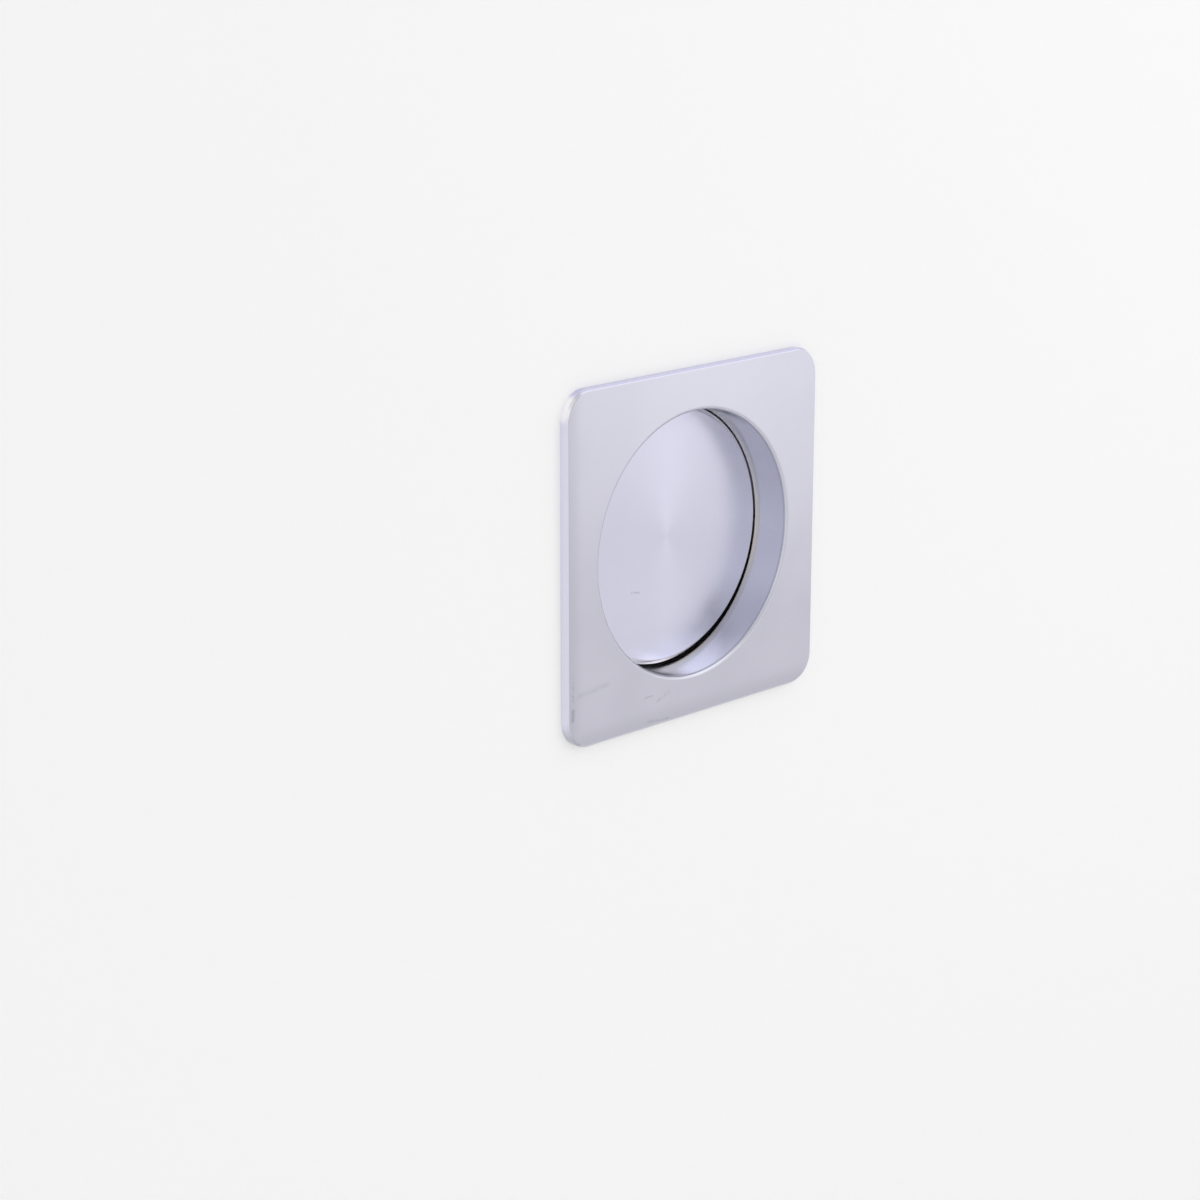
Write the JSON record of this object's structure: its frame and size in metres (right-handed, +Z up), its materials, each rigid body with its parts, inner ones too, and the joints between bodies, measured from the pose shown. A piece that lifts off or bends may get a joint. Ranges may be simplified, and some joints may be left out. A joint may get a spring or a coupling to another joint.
{
  "type": "pocket door pull",
  "caption": "Square flush pull for a sliding pocket door: a satin chrome face plate and round finger cup in one piece, with a turned cover disc that hides the fixing screws.",
  "frame": {"origin": "on the cup's axis, in the plane where the back of the face plate meets the door", "axes": "+Y along the cup's axis into the door, +Z up, so the face looks along -Y"},
  "size_m": [0.0762, 0.0323, 0.0762],
  "materials": {
    "satin_chrome": "satin",
    "turned_chrome": "satin",
    "black_foam": "matte",
    "zinc_plated_steel": "satin"
  },
  "bodies": {
    "root": {"pull_body": "satin_chrome", "cover_disc": "turned_chrome", "adhesive_pad": "black_foam", "fixing_screws": "zinc_plated_steel"}
  },
  "joints": []
}
